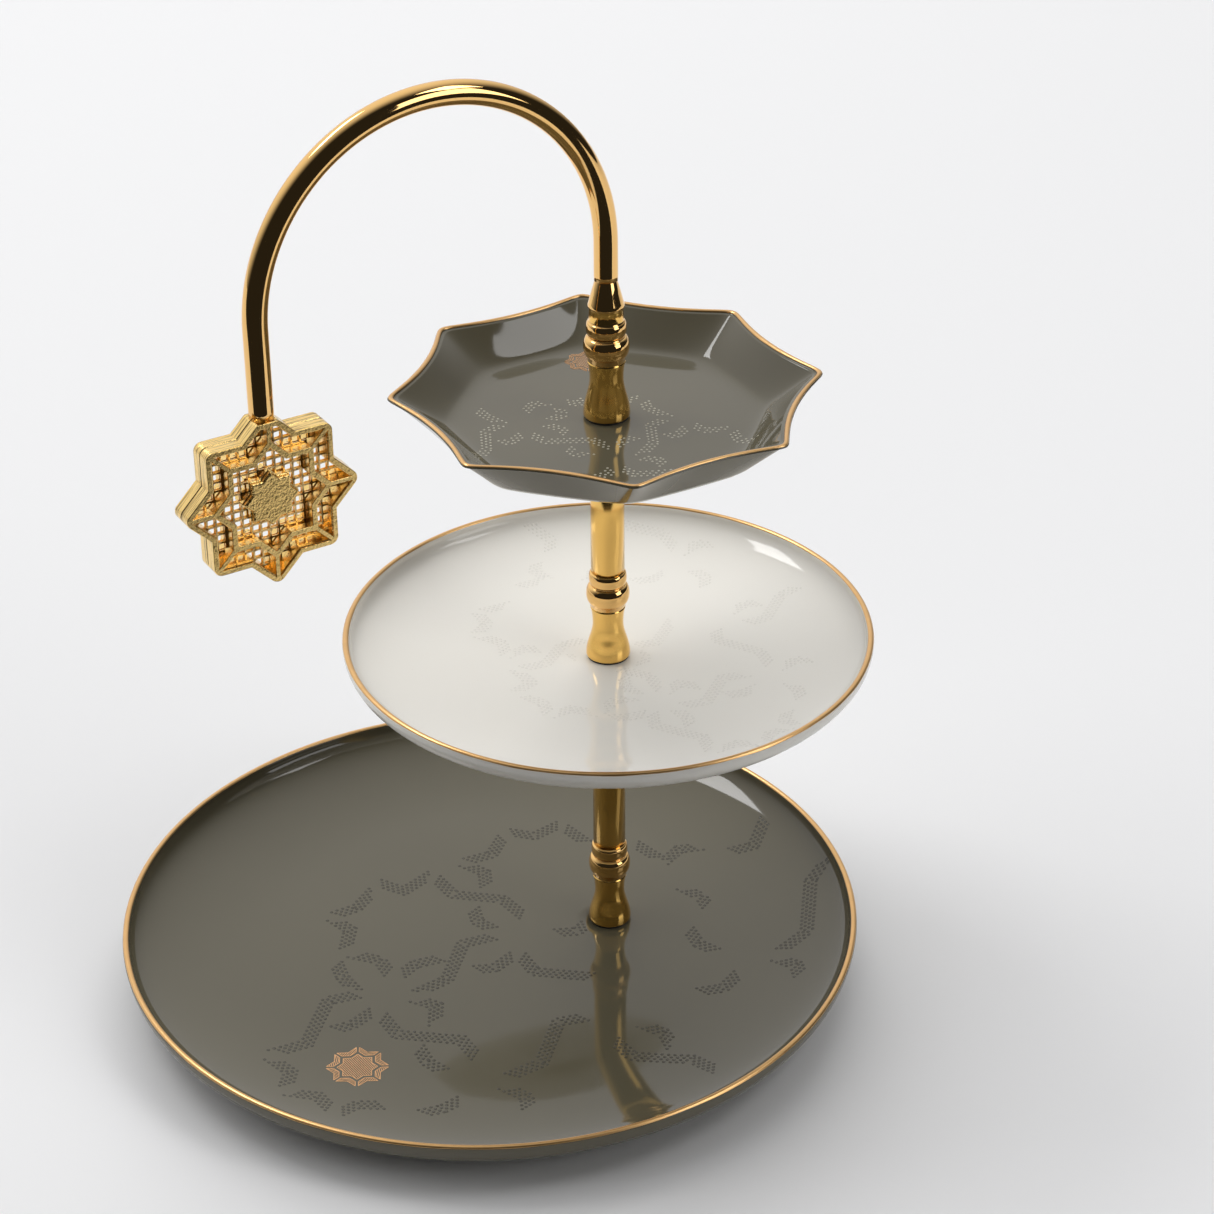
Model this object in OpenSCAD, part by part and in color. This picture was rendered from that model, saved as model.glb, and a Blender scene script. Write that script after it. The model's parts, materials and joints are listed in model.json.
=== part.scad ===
// Three-tier cake stand: two round coupe plates, an eight-pointed star plate on top,
// a turned and plated metal column, and a swan-neck handle that ends in a pierced star.
// Millimetres, +Z up. Origin: centre of the bottom plate's foot ring, on the table.
// +X points from the bottom plate's centre towards the column.

/* [Bottom plate] */
// Radius of the bottom plate at its rim
base_r = 165; // [150:1:180]
// Height of the bottom plate's rim above the table
base_rim_z = 26; // [22:0.5:34]
// Radius where the bottom plate's flat floor ends
base_floor_r = 98; // [80:1:110]
// Height of the unglazed foot ring
base_foot_h = 3.5; // [3.5:0.5:6]
// Thickness of the bottom plate's floor
base_floor_t = 4.5; // [4:0.5:7]

/* [Middle plate] */
// Radius of the middle plate at its rim
mid_r = 115; // [100:1:130]
// Height of the middle plate's floor above the table
mid_floor_z = 149.3; // [135:0.1:170]
// Depth of the middle plate from rim to floor
mid_depth = 13.7; // [10:0.1:20]
// Radius where the middle plate's flat floor ends
mid_floor_r = 66; // [50:1:80]

/* [Top plate] */
// Height of the top plate's floor above the table
top_floor_z = 265.5; // [250:0.1:290]
// Depth of the top plate from rim to floor
top_depth = 14.7; // [10:0.1:20]
// Rim radius at the middle of each hollow side
star_side_r = 80.5; // [70:0.5:90]
// Radius of the hollow arc of each side
star_arc_r = 118; // [100:2:300]
// Floor radius at the middle of each side
star_floor_r = 63.5; // [50:0.5:70]
// Turn of the star plate about the column
top_turn = 35.7; // [0:0.1:45]

/* [Column] */
// Distance from the bottom plate's centre to the column's axis
column_x = 56; // [0:1:60]
// Outer radius of the column's tubes
tube_r = 7.25; // [6.5:0.25:9]
// Wall of the column's tubes
tube_wall = 1; // [0.8:0.1:1.5]
// Radius of the thread that holds the sections together
thread_r = 3; // [2.5:0.5:4]
// Radius of the clearance hole in each plate
plate_hole_r = 4.2; // [4:0.1:6]

/* [Handle] */
// Radius of the handle's bend, at the tube's centre
bend_r = 77.9; // [60:0.1:90]
// Height of the bend's centre above the table
bend_z = 343.6; // [335:0.1:380]
// Outer radius of the handle's tube
handle_r = 5; // [4:0.25:6]
// Turn of the handle about the column, from straight back over the plate's centre
handle_turn = 15; // [-180:1:180]

/* [Hanging star] */
// Radius of the hanging star at its points, before they are rounded
pendant_r = 38.2; // [30:0.2:45]
// Thickness of the hanging star over both halves
pendant_t = 12; // [8:0.5:16]
// Height of the hanging star's centre above the table
pendant_z = 273.1; // [260:0.1:290]
// Distance between the bars of the pierced panels
lattice_pitch = 3.8; // [3:0.1:8]

/* [Hidden] */
// Sections of a full circle in the surfaces that are worked out point by point
star_steps = 96;
// Star plate wall: share of its run over which it eases out of the floor, and where the flat floor ends
wall_ease = 0.15;
floor_end_t = -0.35;
// Curve steps in one turned or moulded profile
curve_steps = 20;

gasket_t = 0.8;
washer_t = 1;
mid_floor_t = 4.5;
top_floor_t = 4.5;
plate_rim_t = 3;

// Turned foot: heights above its lower face and radii
foot_flare_r = 9.6;
foot_waist_z = 16;
foot_waist_r = 6.7;
foot_top_z = 24;
foot_top_r = 7.6;
foot_h = 41.4;

// Handle ferrule: heights above its lower face and radii
ferrule_flare_r = 9.8;
ferrule_waist_z = 17.4;
ferrule_waist_r = 7.06;
ferrule_top_z = 24.7;
ferrule_top_r = 7.9;
ferrule_h = 61.1;

spigot_h = 12;
insert_h = 14;
stud_reach = 12;
thread_gap = 0.05;
tube_bore_r = tube_r - tube_wall;
handle_bore_r = handle_r - 1;

base_floor_z = base_foot_h + base_floor_t;
lower_foot_z = base_floor_z + gasket_t;
lower_tube_top = mid_floor_z - mid_floor_t - washer_t;
middle_foot_z = mid_floor_z + gasket_t;
middle_tube_top = top_floor_z - top_floor_t - washer_t;
ferrule_z = top_floor_z + gasket_t;
handle_base_z = ferrule_z + ferrule_h;
pendant_top = 33.6;
pendant_round = 3;
band_w = 2.2;
inner_star_r = 24.5;
inner_band_w = 2;
strut_w = 1.8;
boss_r = 12.5;
panel_depth = 4.9;
panel_t = 0.8;
lattice_bar = 0.9;
tip_block_h = 7;
spigot_tongue_r = 2.2;

// ---- Profiles, all as [radius, height] ----

// Quarter of a superellipse from a flat floor at (r0, z0) to an upright wall at (r1, z1)
function dish(r0, r1, z0, z1, power) = [for (i = [0:curve_steps])
    let (a = 90 * i / curve_steps)
    [r0 + (r1 - r0) * pow(sin(a), 2 / power), z1 - (z1 - z0) * pow(cos(a), 2 / power)]];

function arc(centre, radius, from, to, steps) = [for (i = [0:steps])
    let (a = from + (to - from) * i / steps) centre + radius * [cos(a), sin(a)]];

function reversed(points) = [for (i = [len(points) - 1:-1:0]) points[i]];

// Half-round moulding that stands out of a neck radius by its height
function bead(z, half_h, neck_r, peak_r) = [for (i = [0:12])
    let (a = -90 + 15 * i) [neck_r + (peak_r - neck_r) * cos(a), z + half_h * sin(a)]];

// Flared foot: an S-curve in to the waist, then a slow swelling up to the groove
function flare(flare_r, waist_z, waist_r, top_z, top_r) = concat(
    [[flare_r - 0.7, 0], [flare_r - 0.2, 0.3], [flare_r, 0.9]],
    [for (i = [1:curve_steps]) let (z = 0.9 + (waist_z - 0.9) * i / curve_steps)
        [waist_r + (flare_r - waist_r) * (1 + cos(180 * (z - 0.9) / (waist_z - 0.9))) / 2, z]],
    [for (i = [1:6]) let (t = i / 6)
        [waist_r + (top_r - waist_r) * t * t, waist_z + (top_z - waist_z) * t]]);

// ---- Plates ----

// Round coupe plate with a rounded rim and a foot ring; bottom_z is the height of its lowest face
module round_plate(r, rim_z, floor_r, floor_z, under_z, foot_r, bottom_z) {
    rim_c = [r - plate_rim_t / 2, rim_z - plate_rim_t / 2];
    inner = dish(floor_r, r - plate_rim_t, floor_z, rim_c[1], 2.1);
    rim = arc(rim_c, plate_rim_t / 2, 165, 15, 10);
    outer = reversed(dish(foot_r, r, under_z, rim_c[1], 2.25));
    foot = [[foot_r - 0.8, bottom_z + 0.6], [foot_r - 1.6, bottom_z], [foot_r - 5.4, bottom_z],
        [foot_r - 6.2, bottom_z + 0.6], [foot_r - 7, under_z]];
    rotate_extrude($fn = 180)
        polygon(concat([[0, floor_z]], inner, rim, outer, foot, [[0, under_z]]));
}

module bottom_plate() {
    color("#6b675c")
    difference() {
        round_plate(base_r, base_rim_z, base_floor_r, base_floor_z, base_foot_h, base_floor_r + 6, 0);
        translate([column_x, 0, 0]) cylinder(h = base_floor_z + 1, r = plate_hole_r, $fn = 48);
    }
}

module middle_plate() {
    under_z = mid_floor_z - mid_floor_t;
    color("#e6e2d8")
    translate([column_x, 0, 0])
    difference() {
        round_plate(mid_r, mid_floor_z + mid_depth, mid_floor_r, mid_floor_z, under_z,
            mid_floor_r + 2, under_z - 2);
        translate([0, 0, under_z - 3]) cylinder(h = mid_floor_t + 4, r = plate_hole_r, $fn = 48);
    }
}

// Angle from the middle of the nearest side, with the points rounded over soft degrees
function side_angle(a, soft) = let (e = abs((a % 45 + 45) % 45 - 22.5))
    22.5 - sqrt(pow(22.5 - e, 2) + soft * soft);
// Rim outline: hollow arcs between eight rounded points
function star_rim(a) = let (s = side_angle(a, 1.8), d = star_side_r + star_arc_r)
    d * cos(s) - sqrt(star_arc_r * star_arc_r - pow(d * sin(s), 2));
// Floor outline: a soft octagon
function star_floor(a) = star_floor_r / cos(side_angle(a, 5));
// Rise of the wall from 0 to 1, easing out of the flat floor, which ends at floor_end_t
function eased(t) = t + sqrt(t * t + wall_ease * wall_ease);
function wall_rise(t) = (eased(t) - eased(floor_end_t)) / (eased(1) - eased(floor_end_t));

// One ring of the star plate: outline between floor (t = 0) and rim (t = 1), moved out by grow
function star_ring(t, grow, z) = [for (j = [0:star_steps - 1])
    let (a = 360 * j / star_steps, r = star_floor(a) * (1 - t) + star_rim(a) * t + grow)
    [r * cos(a), r * sin(a), z]];

module star_shell() {
    inner_t = [floor_end_t, -0.2, -0.1, 0, 0.1, 0.25, 0.5, 0.75, 0.95];
    outer_t = [0.95, 0.75, 0.5, 0.25, 0.08];
    rings = concat(
        [for (t = inner_t) star_ring(t, -plate_rim_t * max(t, 0), top_depth * wall_rise(t))],
        [star_ring(1, -2.3, top_depth - 0.25), star_ring(1, -1.5, top_depth),
            star_ring(1, -0.6, top_depth - 0.25), star_ring(1, 0, top_depth - 1.1)],
        [for (t = outer_t)
            star_ring(t, 3 * (1 - t), -top_floor_t + (top_depth + top_floor_t) * t)],
        [star_ring(0, 0.5, -top_floor_t)]);
    n = star_steps;
    last = len(rings) - 1;
    polyhedron(
        points = [for (ring = rings) for (p = ring) p],
        faces = concat(
            [[for (j = [0:n - 1]) n - 1 - j]],
            [for (i = [0:last - 1]) for (j = [0:n - 1]) let (k = (j + 1) % n)
                each [[i * n + j, i * n + k, (i + 1) * n + k],
                    [i * n + j, (i + 1) * n + k, (i + 1) * n + j]]],
            [[for (j = [0:n - 1]) last * n + j]]));
}

module top_plate() {
    color("#706d66")
    translate([column_x, 0, top_floor_z])
    rotate([0, 0, top_turn])
    difference() {
        star_shell();
        translate([0, 0, -top_floor_t - 1]) cylinder(h = top_floor_t + 3, r = plate_hole_r, $fn = 48);
    }
}

// ---- Column ----

module ring(r, bore, h, z) {
    translate([column_x, 0, z])
    difference() {
        cylinder(h = h, r = r, $fn = 64);
        translate([0, 0, -1]) cylinder(h = h + 2, r = bore, $fn = 48);
    }
}

module base_pad() { color("#2b2a28") ring(11, 3.4, 0.6, base_foot_h - 0.6); }
module base_washer() { color("#b9bcc0") ring(10, 3.2, 0.5, base_foot_h - 1.1); }
module lower_gasket() { color("#2b2a28") ring(9, 3.4, gasket_t, base_floor_z); }
module middle_washer() { color("#2b2a28") ring(8, 3.4, washer_t, lower_tube_top); }
module middle_gasket() { color("#2b2a28") ring(9, 3.4, gasket_t, mid_floor_z); }
module top_washer() { color("#2b2a28") ring(8, 3.4, washer_t, middle_tube_top); }
module top_gasket() { color("#2b2a28") ring(9.2, 3.4, gasket_t, top_floor_z); }

// Flat-headed screw with a crossed slot, up through the plate into the lower foot
module base_screw() {
    head_z = 0.5;
    head_top = base_foot_h - 1.1;
    color("#b9bcc0")
    translate([column_x, 0, 0])
    difference() {
        union() {
            translate([0, 0, head_z]) cylinder(h = head_top - head_z, r = 6, $fn = 64);
            cylinder_from(head_top, lower_foot_z + stud_reach, thread_r - thread_gap);
        }
        for (a = [0, 90]) rotate([0, 0, a])
            translate([-3.5, -0.6, head_z - 1]) cube([7, 1.2, 2]);
    }
}

module cylinder_from(z0, z1, r) {
    translate([0, 0, z0]) cylinder(h = z1 - z0, r = r, $fn = 48);
}

// Turned solid: a profile spun about the axis, with a spigot on top and a thread bore below
module turned(profile, h, spigot_r) {
    difference() {
        union() {
            rotate_extrude($fn = 96) polygon(concat([[0, 0]], profile, [[0, h]]));
            translate([0, 0, h - 0.5]) cylinder(h = spigot_h + 0.5, r = spigot_r, $fn = 64);
        }
        translate([0, 0, -1]) cylinder(h = stud_reach + 3, r = thread_r, $fn = 48);
    }
}

module column_foot(z) {
    profile = concat(
        flare(foot_flare_r, foot_waist_z, foot_waist_r, foot_top_z, foot_top_r),
        [[foot_top_r - 0.4, foot_top_z + 0.3], [foot_top_r, foot_top_z + 0.6]],
        bead(30.6, 4.4, 7.5, 9.4),
        bead(38.3, 2.8, 7.45, 8.2),
        [[tube_r, foot_h]]);
    translate([column_x, 0, z]) turned(profile, foot_h, tube_bore_r);
}

module lower_foot() { color("#d9ab52") column_foot(lower_foot_z); }
module middle_foot() { color("#d9ab52") column_foot(middle_foot_z); }

module column_tube(z0, z1) {
    translate([column_x, 0, z0])
    difference() {
        cylinder(h = z1 - z0, r = tube_r, $fn = 96);
        translate([0, 0, -1]) cylinder(h = z1 - z0 + 2, r = tube_bore_r, $fn = 96);
    }
}

module lower_tube() { color("#d6a54c") column_tube(lower_foot_z + foot_h, lower_tube_top); }
module middle_tube() { color("#d6a54c") column_tube(middle_foot_z + foot_h, middle_tube_top); }

// Threaded plug pressed into the upper end of a tube
module tube_insert(top_z) { ring(tube_bore_r, thread_r, insert_h, top_z - insert_h); }
module lower_insert() { color("#c9a24a") tube_insert(lower_tube_top); }
module middle_insert() { color("#c9a24a") tube_insert(middle_tube_top); }

// Threaded stud that joins a tube's plug to the section above it
module joining_stud(tube_top, next_z) {
    translate([column_x, 0, 0])
        cylinder_from(tube_top - stud_reach, next_z + stud_reach, thread_r - thread_gap);
}
module lower_stud() { color("#b9bcc0") joining_stud(lower_tube_top, middle_foot_z); }
module upper_stud() { color("#b9bcc0") joining_stud(middle_tube_top, ferrule_z); }

// ---- Handle ----

// Puts a handle piece on the column's axis, with +X running out along the handle
module on_handle() {
    translate([column_x, 0, 0]) rotate([0, 0, 180 + handle_turn]) children();
}

module handle_ferrule() {
    profile = concat(
        flare(ferrule_flare_r, ferrule_waist_z, ferrule_waist_r, ferrule_top_z, ferrule_top_r),
        [[ferrule_top_r - 0.4, ferrule_top_z + 0.3], [ferrule_top_r, ferrule_top_z + 0.6]],
        bead(31.5, 4.4, 7.7, 9.6),
        bead(39.7, 3, 7.5, 8.4),
        [[7.15, 43.4], [7.15, 48.2], [7.54, 49.4], [7.54, 50.2], [6, 56], [4.6, ferrule_h]]);
    color("#d9ab52")
    on_handle() translate([0, 0, ferrule_z]) turned(profile, ferrule_h, handle_bore_r);
}

module tube_section() {
    difference() {
        circle(r = handle_r, $fn = 48);
        circle(r = handle_bore_r, $fn = 48);
    }
}

module handle_tube() {
    color("#dcae50")
    on_handle() {
        translate([0, 0, handle_base_z])
            linear_extrude(bend_z - handle_base_z) tube_section();
        translate([2 * bend_r, 0, pendant_z + pendant_top])
            linear_extrude(bend_z - pendant_z - pendant_top) tube_section();
        translate([bend_r, 0, bend_z]) rotate([90, 0, 0])
            rotate_extrude(angle = 180, $fn = 120) translate([bend_r, 0]) tube_section();
    }
}

// ---- Hanging star ----

// Eight-pointed star made by two crossed squares, with rounded points
function star_points(r, round_r) = [for (k = [0:7]) each
    let (a = 45 * k, tip = (r - round_r * sqrt(2)) * [cos(a), sin(a)])
    concat(arc(tip, round_r, a - 45, a + 45, 4),
        [r * cos(45) / cos(22.5) * [cos(a + 22.5), sin(a + 22.5)]])];

module star_outline(r, round_r) { polygon(star_points(r, round_r)); }

module star_band(r, width, round_r) {
    difference() {
        star_outline(r, round_r);
        star_outline(r - width * sqrt(2), max(round_r - width, 0.3));
    }
}

// Square grid of bars, cut to the inside of the outer band
module lattice() {
    half = floor(pendant_r / lattice_pitch);
    intersection() {
        union() for (i = [-half:half]) {
            translate([i * lattice_pitch, 0]) square([lattice_bar, 2 * pendant_r], center = true);
            translate([0, i * lattice_pitch]) square([2 * pendant_r, lattice_bar], center = true);
        }
        star_outline(pendant_r - 1, pendant_round);
    }
}

// One cast half in its own plane: outline in X and Y, thickness up from the seam at Z = 0
module star_half_flat() {
    half_t = pendant_t / 2;
    panel_z = half_t - panel_depth - panel_t;
    linear_extrude(half_t) star_band(pendant_r, band_w, pendant_round);
    linear_extrude(half_t) intersection() {
        star_outline(pendant_r, pendant_round);
        translate([0, pendant_top - tip_block_h / 2]) square([30, tip_block_h], center = true);
    }
    translate([0, 0, panel_z]) {
        linear_extrude(panel_t) lattice();
        linear_extrude(half_t - panel_z) {
            star_band(inner_star_r + inner_band_w * sqrt(2) / 2, inner_band_w, 1.2);
            for (k = [0:7]) rotate([0, 0, 45 * k])
                translate([inner_star_r - 1, -strut_w / 2]) square([pendant_r - inner_star_r - 1, strut_w]);
        }
        linear_extrude(half_t - panel_z - 1) star_outline(boss_r, 0.6);
    }
}

// A half stood upright, its seam on the handle's plane; side is 1 for front, -1 for back
module star_half(side) {
    on_handle() translate([2 * bend_r, 0, pendant_z])
    difference() {
        rotate([90, 0, 0]) mirror([0, 0, side > 0 ? 1 : 0]) star_half_flat();
        translate([-20, -20, pendant_top]) cube([40, 40, 10]);
        translate([0, 0, pendant_top - tip_block_h])
            cylinder(h = tip_block_h + 1, r = spigot_tongue_r, $fn = 32);
    }
}

module star_front() { color("#d8ab58") star_half(1); }
module star_back() { color("#d2a24e") star_half(-1); }

// Stepped peg: the thick end fills the tube, the thin end sits between the star's halves
module star_spigot() {
    color("#c9a24a")
    on_handle() translate([2 * bend_r, 0, pendant_z + pendant_top]) {
        cylinder(h = spigot_h, r = handle_bore_r, $fn = 48);
        translate([0, 0, -tip_block_h]) cylinder(h = tip_block_h + 1, r = spigot_tongue_r, $fn = 32);
    }
}

bottom_plate();
base_screw();
base_washer();
base_pad();
lower_gasket();
lower_foot();
lower_tube();
lower_insert();
lower_stud();
middle_washer();
middle_plate();
middle_gasket();
middle_foot();
middle_tube();
middle_insert();
upper_stud();
top_washer();
top_plate();
top_gasket();
handle_ferrule();
handle_tube();
star_spigot();
star_front();
star_back();
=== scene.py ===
import json
import math

import bpy
import numpy as np
from mathutils import Matrix, Vector


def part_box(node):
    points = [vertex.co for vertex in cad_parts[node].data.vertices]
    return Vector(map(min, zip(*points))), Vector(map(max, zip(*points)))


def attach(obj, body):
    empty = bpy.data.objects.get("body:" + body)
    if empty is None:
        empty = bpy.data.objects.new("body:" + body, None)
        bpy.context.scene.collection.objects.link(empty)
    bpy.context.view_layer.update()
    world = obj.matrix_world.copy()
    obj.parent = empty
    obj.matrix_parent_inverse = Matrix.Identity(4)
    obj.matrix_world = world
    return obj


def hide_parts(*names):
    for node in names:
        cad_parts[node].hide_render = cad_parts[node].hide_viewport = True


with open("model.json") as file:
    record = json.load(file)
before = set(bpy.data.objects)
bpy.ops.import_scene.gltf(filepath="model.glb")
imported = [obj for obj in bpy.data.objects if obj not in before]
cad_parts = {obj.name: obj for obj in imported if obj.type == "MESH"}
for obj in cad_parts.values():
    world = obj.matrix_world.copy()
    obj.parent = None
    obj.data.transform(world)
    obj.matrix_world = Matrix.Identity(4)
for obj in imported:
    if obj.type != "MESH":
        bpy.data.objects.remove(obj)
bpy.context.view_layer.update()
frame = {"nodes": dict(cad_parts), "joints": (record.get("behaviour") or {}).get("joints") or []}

# ---- Camera, floor and light ----
# A white sweep, lit by one soft box behind on the left, two on the right and three broad
# bounces. The room in front is left dim, so plated metal shows bright edges round a dark middle.

MM = 0.001
hinge_at = {joint["name"]: joint["pos_m"] for joint in frame["joints"]}
COLUMN_X = hinge_at["handle_turn"][0]
VIEW_TURN = math.radians(-16.3)
VIEW_DOWN = math.radians(30.457)
VIEW_ROLL = math.radians(-0.362)
STAND_MIDDLE = Vector((COLUMN_X, 0, 0.163))
FROM_MIDDLE = Vector((-0.0004, -1.1113, 0.6637))
turn = Matrix.Rotation(VIEW_TURN, 4, "Z")

lens = bpy.data.cameras.new("camera")
lens.sensor_width = 36
lens.lens = 88.61
camera = bpy.data.objects.new("camera", lens)
camera.matrix_world = (
    Matrix.Translation(STAND_MIDDLE + turn @ FROM_MIDDLE)
    @ turn
    @ Matrix.Rotation(math.pi / 2 - VIEW_DOWN, 4, "X")
    @ Matrix.Rotation(VIEW_ROLL, 4, "Z")
)
bpy.context.scene.collection.objects.link(camera)
bpy.context.scene.camera = camera
bpy.context.scene.view_settings.view_transform = "Standard"


def new_material(name):
    """An empty node material and its Principled shader."""
    material = bpy.data.materials.new(name)
    material.use_nodes = True
    return material, material.node_tree.nodes["Principled BSDF"]


def add_mesh(name, points, faces, smooth=True):
    """A mesh object from an (n, 3) array of points in metres and a list or array of faces."""
    mesh = bpy.data.meshes.new(name)
    mesh.from_pydata(points.tolist(), [], faces if isinstance(faces, list) else faces.tolist())
    mesh.polygons.foreach_set("use_smooth", np.full(len(mesh.polygons), smooth))
    mesh.update()
    piece = bpy.data.objects.new(name, mesh)
    bpy.context.scene.collection.objects.link(piece)
    return piece


TABLE = {"left": -3.0, "right": 3.0, "near": -0.37, "far": 5.0}
corners = np.array([[TABLE[x], TABLE[y], 0.0] for x, y in
                    (("left", "near"), ("right", "near"), ("right", "far"), ("left", "far"))])
corners = corners @ np.array(turn.to_3x3()).T + (COLUMN_X, 0, 0)
table = add_mesh("table", corners, [[0, 1, 2, 3]], smooth=False)
table_paint, shader = new_material("table_paint")
shader.inputs["Base Color"].default_value = (0.84, 0.84, 0.845, 1)
shader.inputs["Roughness"].default_value = 0.6
table.data.materials.append(table_paint)


def soft_box(name, azimuth, elevation, away, width, height, radiance):
    """A rectangular light facing the stand; azimuth is in degrees to the right of straight away
    from the camera, and its power is pi times its area times its radiance."""
    light = bpy.data.lights.new(name, "AREA")
    light.shape = "RECTANGLE"
    light.size = width
    light.size_y = height
    light.energy = math.pi * width * height * radiance
    place = Vector((0, away, 0))
    place.rotate(Matrix.Rotation(math.radians(elevation), 4, "X"))
    place.rotate(Matrix.Rotation(-math.radians(azimuth) + VIEW_TURN, 4, "Z"))
    box = bpy.data.objects.new(name, light)
    box.matrix_world = (Matrix.Translation(STAND_MIDDLE + place)
                        @ (-place).to_track_quat("-Z", "Y").to_matrix().to_4x4())
    bpy.context.scene.collection.objects.link(box)
    return box


soft_box("key_box", -58, 54, 3.0, 1.3, 0.6, 7.0)
soft_box("fill_box", 97, 52, 3.0, 1.0, 1.0, 3.8)
soft_box("side_box", 118, 22, 3.0, 1.4, 1.7, 2.2)
for azimuth, radiance in ((0, 1.7), (135, 0.2), (-90, 0.9)):
    bounce = soft_box("bounce_box", azimuth, 35, 3.6, 3.0, 3.0, radiance)
    bounce.visible_glossy = False

# The sweep behind and to the left is bright, and fades over the top to a dim room on the right
# and in front.
world = bpy.data.worlds.new("studio")
world.use_nodes = True
bpy.context.scene.world = world
tree = world.node_tree
direction = tree.nodes.new("ShaderNodeTexCoord").outputs["Generated"]
away = tree.nodes.new("ShaderNodeVectorMath")
away.operation = "DOT_PRODUCT"
away.inputs[1].default_value = turn @ Vector((-0.4, 0.72, 0.55))
tree.links.new(direction, away.inputs[0])
fade = tree.nodes.new("ShaderNodeMapRange")
fade.interpolation_type = "SMOOTHSTEP"
fade.inputs["From Min"].default_value = 0.05
fade.inputs["From Max"].default_value = 1.0
fade.inputs["To Min"].default_value = 0.02
fade.inputs["To Max"].default_value = 0.95
tree.links.new(away.outputs["Value"], fade.inputs["Value"])
tree.links.new(fade.outputs["Result"], tree.nodes["Background"].inputs["Strength"])
tree.nodes["Background"].inputs["Color"].default_value = (0.99, 0.99, 1.0, 1)

# ---- Bottom plate ----
# A round coupe plate of moulded stoneware, 330 mm across, under a glossy olive-grey glaze.
# Its foot ring is left unglazed, and the hole for the column is drilled off its centre.

TURN_STEPS = 360
RIM_T = 3 * MM
HOLE_R = 4.2 * MM
around = np.linspace(0, 2 * np.pi, TURN_STEPS, endpoint=False)


def dish_curve(r0, r1, z0, z1, power, steps):
    """Quarter of a superellipse, from a flat floor at (r0, z0) to an upright wall at (r1, z1)."""
    a = np.linspace(0, np.pi / 2, steps)
    return np.stack([r0 + (r1 - r0) * np.sin(a) ** (2 / power),
                     z1 - (z1 - z0) * np.cos(a) ** (2 / power)], axis=1)


def arc_curve(centre, radius, start, end, steps):
    """Points on a circle about centre, between two angles in degrees."""
    a = np.radians(np.linspace(start, end, steps))
    return np.array(centre) + radius * np.stack([np.cos(a), np.sin(a)], axis=1)


def loop_faces(n, m, closed_across=True):
    """Quads over n rings of m points; closed_across joins the last ring to the first."""
    i, j = np.meshgrid(np.arange(n if closed_across else n - 1), np.arange(m), indexing="ij")
    i2, j2 = (i + 1) % n, (j + 1) % m
    return np.stack([i * m + j, i * m + j2, i2 * m + j2, i2 * m + j], axis=-1).reshape(-1, 4)


def add_grid(name, rings):
    """A closed skin over rings, an (n, m, 3) array whose rings run round."""
    return add_mesh(name, rings.reshape(-1, 3), loop_faces(*rings.shape[:2]))


def turned_rings(profile, centre_x):
    """Rings of a profile of [radius, height] points, each about its own centre on the X axis."""
    r, z = profile[:, 0, None], profile[:, 1, None]
    return np.stack([np.broadcast_to(centre_x, (len(profile),))[:, None] + r * np.cos(around),
                     r * np.sin(around), np.broadcast_to(z, (len(profile), TURN_STEPS))], axis=-1)


def coupe_profile(r, rim_z, floor_r, floor_z, under_z, foot_r, bottom_z):
    """The plate's outline in four parts: inside of the dish, rim, outside and foot ring."""
    rim_c = (r - RIM_T / 2, rim_z - RIM_T / 2)
    inner = dish_curve(floor_r, r - RIM_T, floor_z, rim_c[1], 2.1, 56)
    rim = arc_curve(rim_c, RIM_T / 2, 170, 10, 14)
    outer = dish_curve(foot_r, r, under_z, rim_c[1], 2.25, 48)[::-1]
    foot_c = foot_r - 3.5 * MM
    foot = np.concatenate([
        [[foot_r - 0.3 * MM, under_z - 0.3 * MM]],
        arc_curve((foot_c + 1.9 * MM, bottom_z + 0.8 * MM), 0.8 * MM, 0, -90, 6),
        arc_curve((foot_c - 1.9 * MM, bottom_z + 0.8 * MM), 0.8 * MM, -90, -180, 6),
        [[foot_c - 2.9 * MM, under_z - 0.3 * MM], [foot_c - 3.5 * MM, under_z]]])
    return inner, rim, outer, foot


def add_round_plate(name, centre_x, **sizes):
    """A coupe plate about centre_x with its bore on the column; the rings of its flat floor
    move from one centre to the other, by their share of the way out."""
    inner, rim, outer, foot = coupe_profile(**sizes)
    top_z, under_z = sizes["floor_z"], sizes["under_z"]
    bore = [[HOLE_R, under_z], [HOLE_R, (top_z + under_z) / 2], [HOLE_R, top_z]]
    flat = np.linspace(0.08, 0.92, 10)
    top_r = HOLE_R + (inner[0, 0] - HOLE_R) * flat
    low_r = (foot[-1, 0] + (HOLE_R - foot[-1, 0]) * flat)
    profile = np.concatenate([
        bore, np.stack([top_r, np.full(10, top_z)], 1), inner, rim, outer, foot,
        np.stack([low_r, np.full(10, under_z)], 1)])
    shift = COLUMN_X - centre_x
    offset = np.zeros(len(profile))
    offset[:3] = shift
    offset[3:13] = shift * (1 - flat)
    offset[-10:] = shift * flat
    rings = turned_rings(profile[::-1], centre_x + offset[::-1])
    plate = add_grid(name, rings)
    surface = np.concatenate([[[0, top_z]], inner, rim[:len(rim) // 2]])
    foot_rows = (len(bore) + 10 + len(inner) + len(rim) + len(outer), len(foot))
    return plate, surface, foot_rows, len(profile)


BASE = {"r": 165 * MM, "rim_z": 26 * MM, "floor_r": 98 * MM, "floor_z": 8 * MM,
        "under_z": 3.5 * MM, "foot_r": 104 * MM, "bottom_z": 0.0}
bottom_plate, base_surface, foot_rows, base_rows = add_round_plate("plate_bottom", 0, **BASE)


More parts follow.
